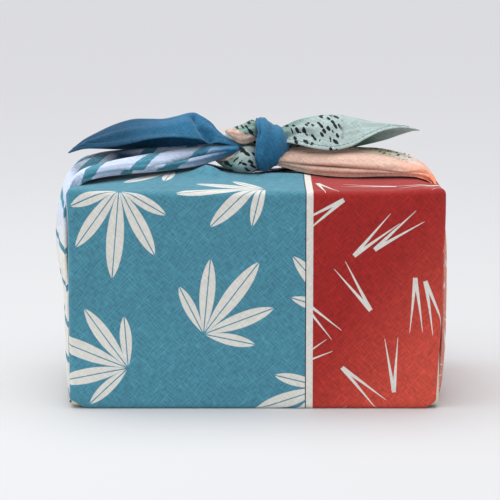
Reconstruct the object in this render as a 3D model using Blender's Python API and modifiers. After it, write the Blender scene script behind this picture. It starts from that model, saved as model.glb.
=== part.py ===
"""A box wrapped in a furoshiki, one square of cloth tied in a square knot on top.

The frame has its origin at the middle of the underside, +Z up, +X along the
box and the front of the box towards -Y.  Sizes below are in millimetres.
"""

from collections import namedtuple
from math import cos, pi, radians, sin

import bmesh
import bpy
from mathutils import Matrix, Vector

MM = 0.001

# Driving sizes of the wrapped box.
WRAP_WIDTH = 270.0
WRAP_DEPTH = 180.0
WRAP_HEIGHT = 158.0
EDGE_ROUND = 5.0
CLOTH = 1.5
BOX_GAP = 0.3

# The front flap lies on the box, and the back flap comes over it to a tip.
# A slit between them keeps the hollow for the box open to the air.
FRONT_FLAP_END = 62.0
FRONT_FLAP_HALF = 60.0
FLAP_TIP = -14.0
FLAP_TIP_HALF = 1.0
FLAP_BACK_HALF = 102.0
FLAP_BACK_INSET = 2.0
FLAP_BACK_LIFT = 0.2
FLAP_LAYER = 1.6
FLAP_SLIT = 0.4
SLIT_SIDE = 4.0
SLIT_FRONT = 3.0
SLIT_BACK = 0.6
OVERLAP = 1.0

# How finely the lofts are cut.
GATHER_RINGS = 26
FOLD_STEPS = 4
TAIL_RINGS = 15
TAIL_STEPS = 10
KNOT_RINGS = 14
KNOT_STEPS = 14

# How round the folds and the tails' walls are, as powers of the way across.
FOLD_ROUNDNESS = 0.7
WALL_BREADTH = 0.85
WALL_DROP = 1.6
TAIL_CLOTH = 1.8
SINK = 0.8
SINK_BREADTH = 0.98

# Each gather starts at the foot of its side, climbs the side as a pleated
# sleeve, turns over the top edge and narrows to a neck at the knot.  Out is the
# distance from the middle, lean the turn of its outer face from level to up.
Station = namedtuple("Station", "out height lean half_width rise crease")
LEFT_GATHER = (
    Station(134.0, 2.0, 0, 85, 1.4, 0.3),
    Station(134.0, 36.0, 0, 84, 3.6, 0.8),
    Station(134.0, 64.0, 0, 81, 6.4, 1.5),
    Station(134.0, 88.0, 0, 79, 9.2, 2.0),
    Station(134.0, 118.0, 6, 74, 9.6, 2.4),
    Station(133.5, 140.0, 22, 69, 8.8, 2.8),
    Station(130.0, 153.0, 48, 63, 8.2, 3.0),
    Station(118.0, 157.2, 74, 55, 9.4, 3.2),
    Station(97.0, 157.4, 86, 43, 12.6, 3.4),
    Station(70.0, 157.6, 89, 31, 16.0, 3.4),
    Station(45.0, 158.6, 91, 21, 18.6, 3.2),
    Station(25.0, 161.6, 92, 13, 17.0, 2.4),
    Station(8.0, 164.0, 92, 9, 15.0, 1.6),
)
RIGHT_GATHER = (
    Station(134.0, 2.0, 0, 85, 1.4, 0.3),
    Station(134.0, 36.0, 0, 84, 3.4, 0.6),
    Station(134.0, 64.0, 0, 81, 4.6, 0.9),
    Station(134.0, 88.0, 0, 79, 4.8, 1.1),
    Station(134.0, 118.0, 6, 74, 4.6, 1.3),
    Station(133.5, 140.0, 22, 69, 4.2, 1.5),
    Station(130.5, 153.5, 48, 63, 4.4, 1.8),
    Station(120.0, 157.2, 72, 55, 5.8, 2.2),
    Station(98.0, 157.4, 84, 44, 10.4, 2.8),
    Station(70.0, 157.6, 88, 32, 15.4, 3.2),
    Station(48.0, 158.4, 90, 23, 18.2, 3.2),
    Station(30.0, 161.0, 91, 15, 17.2, 2.6),
    Station(10.0, 164.0, 92, 9, 14.0, 1.6),
)

# The creases between the folds, from the front edge round to the back edge, as
# shares of the half turn over the bundle.
LEFT_CREASES = (0.0, 0.27, 0.47, 0.70, 1.0)
RIGHT_CREASES = (0.0, 0.31, 0.56, 0.78, 1.0)

# A tail is an arched sheet: a ridge with a front wall and a back wall.
Arch = namedtuple("Arch", "out ridge_y ridge_z front_y front_z back_y back_z")
LEFT_TAIL = (
    Arch(6, -1, 180, -6, 175, 6, 174),
    Arch(22, -1, 182, -9, 176, 8, 175),
    Arch(30, 0, 188, -13, 177, 12, 175),
    Arch(37, 1, 196, -17, 179, 17, 175),
    Arch(45, 2, 200, -20, 182, 21, 174),
    Arch(68, 3, 195, -22, 185, 26, 173),
    Arch(90, 2, 197, -22, 180, 25, 176),
    Arch(112, 0, 188, -18, 177.5, 17, 176),
    Arch(127, -4, 179, -12, 176, 7, 175),
    Arch(134, -7, 175, -9, 174.5, -4, 174),
)
RIGHT_TAIL = (
    Arch(8, 0, 184, -6, 178, 6, 178),
    Arch(24, 0, 190, -10, 184, 10, 181),
    Arch(33, 1, 195, -16, 180, 15, 180),
    Arch(47, 2, 199, -21, 177.5, 20, 180),
    Arch(61, 3, 200.5, -23, 177, 24, 182),
    Arch(76, 3, 199, -21, 180.5, 24, 184),
    Arch(90, 2, 196, -17, 184.5, 19, 186),
    Arch(105, 0, 193, -9, 189, 11, 188),
    Arch(118, -2, 190, -4, 189.5, 1, 189),
)

# The knot, in beads along the box: the left end's bight is the upright band, and
# the right end's bight shows as an upper and a lower lobe that meet at the back.
Bead = namedtuple("Bead", "x y z along_y along_z")
KNOT = {
    "knot_band": (
        Bead(-3, -1, 178, 11, 12),
        Bead(-1, -1, 178.5, 16, 15.5),
        Bead(3, -1, 179, 19.5, 18),
        Bead(8, -1, 178.8, 20.5, 18.6),
        Bead(15, -1, 178, 20.5, 17.6),
        Bead(21, -1, 177, 19, 15.6),
        Bead(25, -1, 176.5, 15, 12.5),
        Bead(27, -1, 177, 9, 8),
    ),
    "knot_upper_lobe": (
        Bead(-24, -4, 187, 2, 1.5),
        Bead(-20, -5, 187, 6, 4),
        Bead(-14, -6, 186, 9, 7),
        Bead(-7, -7, 186.5, 10, 8),
        Bead(0, -7, 186.5, 10, 8),
        Bead(8, -6, 186, 8, 7),
    ),
    "knot_lower_lobe": (
        Bead(-36, -3, 168, 2, 1.5),
        Bead(-31, -5, 168, 6, 4.5),
        Bead(-24, -7, 168.5, 10, 7.5),
        Bead(-16, -8, 169.5, 12, 9),
        Bead(-6, -8, 170, 13, 9.5),
        Bead(4, -8, 170, 12, 9),
    ),
    "knot_back_bend": (
        Bead(-30, 9, 176, 2, 4),
        Bead(-26, 9, 176, 7, 10),
        Bead(-18, 9, 177, 9, 14),
        Bead(-8, 8, 178, 9, 15),
        Bead(2, 6, 178, 8, 12),
    ),
}


def between(rows, share):
    """Read a smooth curve through the rows of a table, column by column."""
    place = share * (len(rows) - 1)
    index = min(int(place), len(rows) - 2)
    step = place - index
    before = rows[max(index - 1, 0)]
    start = rows[index]
    end = rows[index + 1]
    after = rows[min(index + 2, len(rows) - 1)]
    values = []
    for p0, p1, p2, p3 in zip(before, start, end, after):
        bend = 2 * p0 - 5 * p1 + 4 * p2 - p3
        twist = 3 * (p1 - p2) + p3 - p0
        values.append(p1 + 0.5 * step * (p2 - p0 + step * (bend + step * twist)))
    return type(start)(*values)


def mesh_object(name, points, faces, collection):
    """Make a mesh object from points in millimetres, with its faces turned out."""
    shape = bmesh.new()
    corners = [shape.verts.new(Vector(point) * MM) for point in points]
    for face in faces:
        shape.faces.new([corners[index] for index in face])
    bmesh.ops.recalc_face_normals(shape, faces=shape.faces)
    mesh = bpy.data.meshes.new(name)
    shape.to_mesh(mesh)
    shape.free()
    thing = bpy.data.objects.new(name, mesh)
    collection.objects.link(thing)
    return thing


def loft(name, rings, collection):
    """Skin a row of closed rings and cap both ends."""
    size = len(rings[0])
    points = [point for ring in rings for point in ring]
    faces = []
    for row in range(len(rings) - 1):
        for spot in range(size):
            here = row * size + spot
            beside = row * size + (spot + 1) % size
            faces.append((here, beside, beside + size, here + size))
    faces.append(tuple(range(size)))
    faces.append(tuple(range(len(points) - size, len(points))))
    return mesh_object(name, points, faces, collection)


def gather_ring(station, creases, hand):
    """Ring of a pleated bundle: rounded folds over a flat foot."""
    lean = radians(station.lean)
    outward = Vector((hand * cos(lean), 0, sin(lean)))
    foot = Vector((hand * station.out, 0, station.height))
    ring = []
    for start, end in zip(creases, creases[1:]):
        for step in range(FOLD_STEPS):
            fold = step / FOLD_STEPS
            turn = pi * (start + (end - start) * fold)
            across = -station.half_width * cos(turn)
            arch = station.rise * sin(turn) ** FOLD_ROUNDNESS
            lift = arch - station.crease * (1 - sin(pi * fold) ** FOLD_ROUNDNESS)
            ring.append(foot + outward * max(lift, 0) + Vector((0, across, 0)))
    ring.append(foot + Vector((0, station.half_width, 0)))
    for across in (station.half_width, -station.half_width):
        ring.append(foot - outward * SINK + Vector((0, across * SINK_BREADTH, 0)))
    return ring


def gather(name, rows, creases, hand, collection):
    """Loft one side's sleeve and gather from the foot of the side to the neck."""
    rings = []
    for count in range(GATHER_RINGS):
        station = between(rows, count / (GATHER_RINGS - 1))
        rings.append(gather_ring(station, creases, hand))
    return loft(name, rings, collection)


def tail(name, rows, hand, collection):
    """Lay an arched sheet from the neck to a corner of the cloth, and thicken it."""
    points = []
    for count in range(TAIL_RINGS):
        arch = between(rows, count / (TAIL_RINGS - 1))
        for step in range(TAIL_STEPS + 1):
            place = 2 * step / TAIL_STEPS - 1
            edge_y, edge_z = (arch.front_y, arch.front_z) if place < 0 else (arch.back_y, arch.back_z)
            y = arch.ridge_y + (edge_y - arch.ridge_y) * abs(place) ** WALL_BREADTH
            z = arch.ridge_z + (edge_z - arch.ridge_z) * abs(place) ** WALL_DROP
            points.append((hand * arch.out, y, z))
    faces = []
    width = TAIL_STEPS + 1
    for row in range(TAIL_RINGS - 1):
        for step in range(TAIL_STEPS):
            here = row * width + step
            faces.append((here, here + 1, here + 1 + width, here + width))
    sheet = mesh_object(name, points, faces, collection)
    thicken = sheet.modifiers.new("cloth", "SOLIDIFY")
    thicken.thickness = TAIL_CLOTH * MM
    thicken.offset = 0
    return sheet


def bead_loft(name, rows, collection):
    """Skin a row of upright ovals along the box."""
    rings = []
    for count in range(KNOT_RINGS):
        bead = between(rows, count / (KNOT_RINGS - 1))
        ring = []
        for step in range(KNOT_STEPS):
            turn = 2 * pi * step / KNOT_STEPS
            ring.append((bead.x, bead.y + bead.along_y * cos(turn), bead.z + bead.along_z * sin(turn)))
        rings.append(ring)
    return loft(name, rings, collection)


def block(name, low, high, collection):
    """Box between two corners in millimetres."""
    low, high = Vector(low) * MM, Vector(high) * MM
    bpy.ops.mesh.primitive_cube_add(size=1)
    thing = bpy.context.object
    thing.name = name
    thing.data.transform(Matrix.LocRotScale((low + high) / 2, None, high - low))
    for holder in list(thing.users_collection):
        holder.objects.unlink(thing)
    collection.objects.link(thing)
    return thing


def flap_wedge(name, tip, end, bottom, top, end_top, margin, collection):
    """Triangle of flap from its tip to a line across the box, level or sloping."""
    slope = FLAP_BACK_HALF / (WRAP_DEPTH / 2 - FLAP_TIP)
    tip_half = FLAP_TIP_HALF + margin
    end_half = (end - tip) * slope + tip_half
    points = []
    for y, half, upper in ((tip, tip_half, top), (end, end_half, end_top)):
        for x, z in ((-half, bottom), (half, bottom), (half, upper), (-half, upper)):
            points.append((x, y, z))
    faces = [(0, 1, 2, 3), (4, 5, 6, 7)]
    for spot in range(4):
        beside = (spot + 1) % 4
        faces.append((spot, beside, beside + 4, spot + 4))
    return mesh_object(name, points, faces, collection)


def rounded_block(name, inset, collection):
    """The wrap's outer block moved in by an inset, with its edges rounded to match."""
    half_width, half_depth = WRAP_WIDTH / 2 - inset, WRAP_DEPTH / 2 - inset
    low = (-half_width, -half_depth, inset)
    high = (half_width, half_depth, WRAP_HEIGHT - inset)
    thing = block(name, low, high, collection)
    soften = thing.modifiers.new("soft edges", "BEVEL")
    soften.width = (EDGE_ROUND - inset) * MM
    soften.segments = 3
    soften.limit_method = "NONE"
    return thing


def combine(target, tool, operation):
    """Add an exact boolean to the target, and hide the tool as a guide."""
    step = target.modifiers.new(tool.name, "BOOLEAN")
    step.object = tool
    step.operation = operation
    step.solver = "EXACT"
    tool.hide_render = True
    tool.display_type = "WIRE"


def principled(name, colour, roughness):
    """Plain matt material."""
    material = bpy.data.materials.new(name)
    material.use_nodes = True
    shader = material.node_tree.nodes["Principled BSDF"]
    shader.inputs["Base Color"].default_value = (*colour, 1)
    shader.inputs["Roughness"].default_value = roughness
    shader.inputs["Metallic"].default_value = 0
    return material


def main():
    for old in list(bpy.data.objects):
        bpy.data.objects.remove(old)
    parts = bpy.data.collections.new("furoshiki wrap")
    guides = bpy.data.collections.new("guides")
    bpy.context.scene.collection.children.link(parts)
    bpy.context.scene.collection.children.link(guides)

    cloth = rounded_block("furoshiki", 0, parts)
    top = WRAP_HEIGHT
    half_depth = WRAP_DEPTH / 2
    pieces = [
        flap_wedge("back_flap", FLAP_TIP, half_depth - FLAP_BACK_INSET, top - OVERLAP,
                   top + FLAP_SLIT + FLAP_LAYER, top + FLAP_BACK_LIFT, 0, guides),
        gather("left_gather", LEFT_GATHER, LEFT_CREASES, -1, guides),
        gather("right_gather", RIGHT_GATHER, RIGHT_CREASES, 1, guides),
        tail("left_tail", LEFT_TAIL, -1, guides),
        tail("right_tail", RIGHT_TAIL, 1, guides),
    ]
    pieces += [bead_loft(name, rows, guides) for name, rows in KNOT.items()]
    for piece in pieces:
        combine(cloth, piece, "UNION")

    slit_end = FRONT_FLAP_END + SLIT_BACK
    slit_low = (-FRONT_FLAP_HALF, FRONT_FLAP_END, top - CLOTH - OVERLAP)
    slit_high = (FRONT_FLAP_HALF, slit_end, top + FLAP_SLIT / 2)
    cuts = [
        rounded_block("box_space", CLOTH, guides),
        flap_wedge("flap_slit", FLAP_TIP - SLIT_FRONT, slit_end, top, top + FLAP_SLIT, top + FLAP_SLIT,
                   SLIT_SIDE, guides),
        block("front_flap_end", slit_low, slit_high, guides),
    ]
    for cut in cuts:
        combine(cloth, cut, "DIFFERENCE")

    box = rounded_block("wrapped_box", CLOTH + BOX_GAP, parts)
    cloth.data.materials.append(principled("cotton cloth", (0.07, 0.25, 0.33), 0.85))
    box.data.materials.append(principled("plain box", (0.72, 0.62, 0.48), 0.7))


main()
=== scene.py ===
"""Looks of a furoshiki wrap: printed slub cotton folded round a box and tied in a square knot.

Run with Blender.  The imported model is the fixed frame, and every piece below is built in it.
Lengths in the tables are millimetres, as a maker would measure them.
"""

from collections import namedtuple
from functools import reduce
from math import cos, pi, radians, sin

import bmesh
import bpy
import numpy as np
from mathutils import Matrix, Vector


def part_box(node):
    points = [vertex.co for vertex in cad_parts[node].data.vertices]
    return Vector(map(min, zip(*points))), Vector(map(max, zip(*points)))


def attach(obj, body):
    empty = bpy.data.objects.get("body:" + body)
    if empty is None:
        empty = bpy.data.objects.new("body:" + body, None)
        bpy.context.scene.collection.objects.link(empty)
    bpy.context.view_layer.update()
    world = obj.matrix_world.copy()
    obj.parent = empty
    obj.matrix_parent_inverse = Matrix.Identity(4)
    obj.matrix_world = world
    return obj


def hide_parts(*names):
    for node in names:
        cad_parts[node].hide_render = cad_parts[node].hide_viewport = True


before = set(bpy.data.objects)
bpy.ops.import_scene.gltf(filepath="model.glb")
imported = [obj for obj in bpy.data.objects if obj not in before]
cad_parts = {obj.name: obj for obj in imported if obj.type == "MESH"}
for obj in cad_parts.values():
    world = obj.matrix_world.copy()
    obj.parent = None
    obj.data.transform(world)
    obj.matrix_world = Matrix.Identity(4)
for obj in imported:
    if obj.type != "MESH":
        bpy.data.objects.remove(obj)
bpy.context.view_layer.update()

bl_info = {
    "name": "Furoshiki wrap",
    "version": (1, 0, 0),
    "blender": (4, 5, 0),
    "location": "View3D > Sidebar > Furoshiki",
    "description": "Builds the tied cloth of a furoshiki wrap round its box, and a plain stage",
    "category": "Object",
}

MM = 0.001
BOX_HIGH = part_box("wrapped_box")[1]

# The cloth lies 1.8 mm outside the box: its own wall and a small gap.
WALL = 1.8
HALF_WIDTH, HALF_DEPTH, HEIGHT = (side / MM + WALL for side in BOX_HIGH)

# Rows and columns of each part's grid, and the spacing of the cover's lines along
# the width, the depth and the height.
GATHER_GRID = (88, 96)
TAIL_GRID = (80, 53)
BAND_GRID = (40, 65)
BEAD_GRID = (22, 49)
FLAP_GRID = (36, 40)
COVER_SPACING = (5.6, 4.6, 6.4)

# The back flap's tip and its half breadth at the back edge and at the tip's two
# sides, and how far its edges turn up beside the knot, at distances from the middle.
FLAP_TIP_Y = -16
FLAP_BACK_HALF = 102
FLAP_TIP_LEFT, FLAP_TIP_RIGHT = 11, 3
FLAP_LIFT = ((-80, -55, -36, -26, -18, 18, 30, 52), (0, 2, 2, 0.3, 0.3, 0.6, 3, 0))

# How far out along the cloth's diagonal the tails and the knot start, in millimetres.
TAIL_START = 430

# The hem's stitches: the gap between two and the thread's radius in metres, and how
# far inside the hem's inner edge they run in millimetres.
STITCH_GAP = 0.0008
THREAD_RADIUS = 0.00022
STITCH_INSET = 0.6

# The camera, in millimetres: its distance from the front, the width that it sees
# there, where it aims, and its lift above level in degrees.
CAMERA_DISTANCE = 1400
CAMERA_WIDTH = 357.25
CAMERA_AIM = (-3.6, -90, 115.9)
CAMERA_LIFT = 8

# Half the side of the floor, in metres.
FLOOR_HALF = 60

# The light: the sun's breadth in degrees, the power of the sun and the sky, and each
# soft light's name, its place, aim and size in metres, and its power in watts.
SUN_BREADTH = 95
SUN_POWER = 2.7
SKY_POWER = 0.26
LIGHTS = (
    ("overhead", (-0.2, 0.2, 1.7), (0, 0, 0), 1.5, 12),
    ("front fill", (-0.2, -1.9, 0.16), (0, 0, 0.02), 0.9, 4),
    ("left rim", (-1.1, -0.5, 0.3), (0, 0, 0.05), 0.6, 4),
    ("right rim", (1.1, -0.5, 0.3), (0, 0, 0.05), 0.6, 2.5),
)

# The uneven swell of each part, broad and fine, the creases round the knot's band, and
# the hem's rise above the cloth with the groove beside it.
FRONT_SWELL, FRONT_FINE_SWELL = 0.45, 0.16
TOP_SWELL = 0.36
GATHER_SWELL, GATHER_FINE_SWELL = 0.35, 0.12
TAIL_SWELL, TAIL_FINE_SWELL = 0.9, 0.3
LOBE_SWELL = 0.05
BAND_CREASE, BAND_FINE_CREASE = 0.75, 0.3
HEM_RISE, HEM_GROOVE = 0.4, 0.5

# One row for each place along a side's path, from the foot of the side, up the
# pleated sleeve, over the top edge and in to the knot: how far out and how high it
# lies, the turn of its outer face from level to up, the bundle's half width, the
# height of its folds, the depth of its creases and of its belly below the foot line,
# its roundness, and how far back its middle lies.
LEFT_GATHER = (
    (132, 4, 0, 82, 6.6, 1.4, 0.4, 0.42, 0), (132, 20, 0, 82, 8.6, 2, 0.4, 0.42, 0),
    (132, 50, 0, 82, 10.2, 2.7, 0.4, 0.42, 0), (132, 78, 0, 81, 10.4, 3.4, 0.4, 0.42, 0),
    (132, 92, 0, 80, 13, 4.1, 0.4, 0.42, 0), (132, 108, 0, 79, 15.6, 5.1, 0.4, 0.42, 0),
    (132.5, 127, 4, 77, 15.2, 5.8, 0.4, 0.42, 0), (134, 143, 20, 72, 11.2, 6.5, 0.4, 0.42, 0),
    (130.5, 155.8, 46, 61, 12.6, 4.6, 0.4, 0.5, 5), (124, 161.4, 66, 57, 12.6, 5.2, 0.4, 0.56, 3),
    (112, 164.4, 80, 50, 12.6, 5.4, 0.6, 0.62, 0), (92, 165.6, 87, 38, 13.8, 5.4, 1, 0.66, 0),
    (68, 167.2, 89, 28, 14.2, 5, 1.2, 0.7, -1), (45, 169.6, 91, 18, 13.6, 4.2, 1.2, 0.74, -3),
    (28, 174.8, 92, 12, 9.6, 2.4, 1.2, 0.78, -8), (12, 180.4, 92, 6, 3.4, 1, 1, 0.8, -13),
)
RIGHT_GATHER = (
    (130.2, 4, 0, 80, 7, 1.4, 0.4, 0.42, 0), (131, 14, 0, 81, 8.2, 2, 0.4, 0.42, 0),
    (131.8, 32, 0, 82, 9.2, 2.4, 0.4, 0.42, 0), (132.4, 54, 0, 82, 9.4, 2.7, 0.4, 0.42, 0),
    (132.8, 86, 0, 81, 9.4, 3.1, 0.4, 0.42, 0), (133.5, 119, 2, 78, 7.4, 3.4, 0.4, 0.42, 0),
    (133.6, 142, 14, 72, 4.6, 4.1, 0.4, 0.42, 0), (131, 158, 46, 54, 4.4, 4, 0.4, 0.5, 9),
    (121.5, 162.8, 74, 47, 8.4, 4.6, 0.4, 0.58, 9), (112, 163.8, 82, 43, 12, 4.8, 0.6, 0.62, 7),
    (92, 163.7, 87, 37, 16.6, 4.6, 0.8, 0.66, 2), (70, 162.7, 89, 30, 18.9, 4.6, 0.6, 0.7, -1),
    (48, 163.5, 90, 21, 18.3, 4.2, 0.6, 0.74, -2), (31, 166.4, 91, 14, 15.2, 3.6, 1, 0.78, -4),
    (12, 171.9, 92, 8, 7, 1.8, 1.4, 0.8, -6),
)

# Where the sleeve ends along the path, how much its points crowd at its two edges, and
# how much flatter the folds lie there, between two shares of the half turn.
SLEEVE_END = (0.42, 0.58)
CROWDING = 0.55
FLATTENING = 0.58
EDGE_TURNS = (0.06, 0.16)

# The front and back edges of a sleeve bulge towards the face they lie beside and leave
# a narrow slot there.  Small pleats run up it between the folds, deepest at the foot.
LIP = 15
SLOT = 8
LIP_PLACE = 0.085
LIP_BREADTH = 0.032
PLEAT_COUNT = 15
PLEAT_DEPTH = 1.7

# The upper front fold of a gather laps over the one below it.
LAP = 3.2
LAP_BREADTH = 0.04
LAP_START = (0.5, 0.6)

# The foot of a gather is tucked in under it, which leaves a dark gap on the top, more at
# the left side than at the right.
TUCK = {-1: 3.4, 1: 1.2}
TUCK_HEIGHT = 2.4
TUCK_START = (0.6, 0.72)

# The folds of a gather, front to back.  Each starts at a crease, whose places are
# pairs: the share of the way along the path, and of the half turn over the bundle.
# Depth is the crease's share of the table's depth, skew leans the fold, and edge is
# low for a sharp crease and high for a broad trough.
Fold = namedtuple("Fold", "places depth skew edge", defaults=(0.5,))
LEFT_FOLDS = (
    Fold(((0, 0),), 1, 0.55, 2.4),
    Fold(((0.7, 0), (0.76, 0.027), (0.775, 0.05), (0.792, 0.09), (0.815, 0.12),
          (0.835, 0.17), (0.86, 0.225), (0.89, 0.24), (1, 0.2)), 1.9, 0.9, 0.3),
    Fold(((0, 0.14), (0.5, 0.12), (0.56, 0.17), (0.6, 0.23), (0.65, 0.27), (0.7, 0.33),
          (0.74, 0.38), (0.79, 0.44), (0.88, 0.5), (1, 0.5)), 2.2, 2, 1.6),
    Fold(((0, 0.32), (0.55, 0.42), (0.7, 0.5), (0.8, 0.58), (1, 0.64)), 0.55, 1),
    Fold(((0, 0.58), (0.55, 0.61), (1, 0.73)), 1.2, 1.3),
    Fold(((0, 0.78), (0.55, 0.76), (1, 0.82)), 0.65, 1),
    Fold(((0, 0.88), (0.55, 0.9), (1, 0.91)), 0.9, 1),
    Fold(((0, 1),), 1, 1),
)
RIGHT_FOLDS = (
    Fold(((0, 0),), 1, 0.55, 2.4),
    Fold(((0, 0.2), (0.45, 0.22), (0.54, 0.2), (0.588, 0.088), (0.64, 0.048), (0.67, 0.042),
          (0.7, 0.06), (0.74, 0.078), (0.785, 0.107), (0.83, 0.118), (1, 0.105)), 1.7, 0.8, 0.3),
    Fold(((0, 0.32), (0.55, 0.3), (1, 0.34)), 0.25, 1.2),
    Fold(((0, 0.4), (0.55, 0.42), (1, 0.6)), 1.1, 0.8),
    Fold(((0, 0.5), (0.55, 0.52), (1, 0.68)), 0.45, 1),
    Fold(((0, 0.64), (0.55, 0.64), (1, 0.76)), 1.1, 1.2),
    Fold(((0, 0.88), (0.55, 0.84), (1, 0.88)), 0.8, 1),
    Fold(((0, 1),), 1, 1),
)

# A tail is an arched sheet, out to the tip: how far out, then back and up of its
# ridge, of its front edge and of its back edge.
LEFT_TAIL = (
    (8, -11, 183.4, -13, 182.6, -8, 182.2), (18.4, -8, 188, -14, 184.8, 0, 181.9),
    (27.2, -5, 193.9, -16, 186.8, 6, 181.4), (33, -2, 200.4, -17, 188, 12, 181),
    (40.8, 0, 205.4, -19, 189.2, 17, 180.4), (47, 1, 207.9, -20, 189.8, 20, 180),
    (59.3, 2, 205, -22, 191.2, 24, 179.4), (69.1, 2, 203.2, -22, 190.6, 25, 178.8),
    (80.9, 2, 203.4, -22, 188.9, 24, 178.4), (92.6, 2, 203, -21, 186.2, 21, 178.2),
    (106.3, 0, 199, -19, 183.6, 17, 178.6), (118.9, -2, 193, -15, 182.4, 11, 179.6),
    (129.6, -4, 187, -11, 181.2, 4, 180), (140.2, -6, 178.2, -7.2, 177.8, -4.6, 177.6),
)
RIGHT_TAIL = (
    (8, -4, 188.4, -8, 183.4, 2, 179.4), (16, -2, 193.4, -10, 184.4, 6, 179),
    (23.5, 0, 197.4, -13, 186, 9, 178.6), (32.5, 1, 201.6, -16, 184.8, 13, 178.8),
    (44.5, 2, 204.7, -19, 182.2, 18, 179.2), (58.5, 3, 206.3, -21, 180.9, 21, 178.8),
    (72.4, 3, 204.8, -20, 183.9, 21, 179.2), (82, 3, 202.8, -18, 188.7, 20, 181),
    (92.6, 2, 200.6, -14, 193.6, 16, 183.8), (102, 1, 199.3, -10, 196, 12, 186.8),
    (111, -1, 198, -6, 196.8, 7, 190.8), (119, -2, 196.2, -4, 195.9, 2, 193.8),
    (124, -3, 194.9, -3.8, 194.8, -1.8, 194.5),
)

# Creases pulled into a tail's front by the knot: places out along the tail and up,
# breadth and depth.
LEFT_TAIL_CREASES = (
    (((46.8, 208.9), (44.8, 203.3), (41.1, 198), (37.3, 193.5), (32.5, 189)), 3.2, 5.4),
    (((34, 200.4), (36, 194.4), (35, 189.9)), 1.6, 0.9),
    (((92, 198.9), (74, 195.4), (58, 194.4)), 4, 0.9),
)
RIGHT_TAIL_CREASES = (
    (((22, 191.4), (25.6, 192.2), (29.4, 193.6), (33.1, 194.8), (38.3, 194.8), (43, 192.4)),
     1.5, 3),
    (((26, 201.4), (37, 199.9), (52, 201.9)), 3.2, 0.9),
)

Tail = namedtuple("Tail", "name arches creases hand seed")
TAILS = (
    Tail("left_tail", LEFT_TAIL, LEFT_TAIL_CREASES, -1, 61),
    Tail("right_tail", RIGHT_TAIL, RIGHT_TAIL_CREASES, 1, 72),
)

# The knot in upright ovals along the box: the left end's bight is the band, and the
# right end's bight shows as two lobes, which a bend joins at the back.  Each row has
# an oval's middle and its two half lengths, back and up.
BAND = (
    (-1.2, -1, 184, 14, 16), (-0.4, -2, 184.3, 18, 18.6), (1.4, -2, 184.3, 20.4, 20),
    (4.4, -2, 183.9, 21.4, 20.2), (8.4, -2, 183.3, 21.6, 19.5), (12.4, -2, 183, 20.8, 17.6),
    (16.4, -2, 183.4, 19.2, 14.9), (20.2, -2, 184.2, 16.6, 12), (23.2, -2, 184.4, 13.2, 9),
    (25.4, -2, 184.1, 9, 5.4), (26.2, -1, 184, 4.5, 2.6),
)
UPPER_LOBE = (
    (-22.4, -5, 194.1, 0.8, 0.4), (-20.6, -6, 194, 3.2, 1.9), (-16.8, -7, 193.1, 6.4, 4.4),
    (-11.8, -8, 191.8, 9, 7), (-6.5, -8, 192.6, 10.6, 8.4), (-1.6, -7, 194.5, 10.4, 8.4),
    (2.6, -6, 194, 7, 6.4),
)
LOWER_LOBE = (
    (-29.8, -4, 172.2, 1, 0.5), (-27.4, -5, 172, 4.2, 2.2), (-24.2, -6, 171.8, 7, 4.3),
    (-19.8, -7, 172, 10, 6.7), (-14.8, -8, 172.6, 12.4, 8.8), (-9.6, -9, 173.4, 14, 10.3),
    (-3.8, -8, 173.7, 13.4, 10.6), (2.2, -6, 173.4, 9.8, 9.4),
)
BACK_BEND = (
    (-26.5, 8, 181.4, 1.5, 2.5), (-23.5, 9, 181.4, 6, 8.5), (-16.5, 10, 182.4, 9.4, 13.4),
    (-7, 9, 183.4, 9.8, 15.4), (4, 7, 183.4, 8, 12),
)

# How far the band's inner edge wanders, at heights of its turn, and the creases round
# a lobe.
BAND_EDGE = ((-1, -0.75, -0.5, 0, 0.33, 0.6, 0.8, 1), (2.5, 1.6, 0.6, 1.8, 2.2, 3.6, 1.4, 1.4))
RIDGE_COUNT = 9

# Where a lobe's print turns from peach to mint, at places along the box: how far above
# the upper one's middle and below the lower one's top.
UPPER_PRINT = ((-21, -17, -12, -4, 2), (2, 3.4, 3.6, -1.7, -5))
LOWER_PRINT = ((-30, -23, -17, -12.6, -11), (1.5, 3.6, 4.8, 1.6, -1))

# How far the pull of the knot lifts the top, at distances from the middle.
TOP_PULL = (
    (-128, -118, -105, -80, -60, -45, -20, 0, 20, 45, 60, 80, 105, 120, 129),
    (0.8, 3.2, 4.8, 5.6, 6.6, 7.4, 6.4, 5.2, 5, 3.8, 3, 3.6, 5.4, 5.4, 1.6),
)

# The ridge that the front flap makes just in front of the gathers and the knot.
RIDGE_Y = -25
RIDGE = (
    (-56, -46, -40, -35, -31, -26, -20, -8, 4, 10, 34, 42, 50),
    (0, 2.3, 5.8, 7.8, 6.2, 3, 0.9, 0.4, 0.6, 2.8, 2.8, 1, 0),
)

# How far the cloth stands up at the top corners, where the sleeves turn in.
CORNER_RISE = 1.8

# How far the cover's lower side edges are drawn up under the sleeves.
FOOT_RISE = 6

# The cover's grid lines near a rounded edge, and where the even ones begin.
END_LINES = np.array([0, 0.8, 1.7, 2.7, 3.8, 5.2, 7])
END_REACH = 9.5

# Soft creases pressed into the front: from, to (along and up), breadth and depth.
FRONT_CREASES = (
    (84, 20, 132, 66, 7, 0.55), (70, 8, 118, 40, 5, 0.4), (96, 4, 134, 34, 4, 0.35),
    (50, 40, 104, 86, 9, 0.35), (-132, 40, -96, 8, 6, 0.4), (-134, 96, -112, 62, 7, 0.35),
    (-60, 150, -20, 108, 10, 0.3), (40, 154, 60, 96, 8, 0.3),
)

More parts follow.
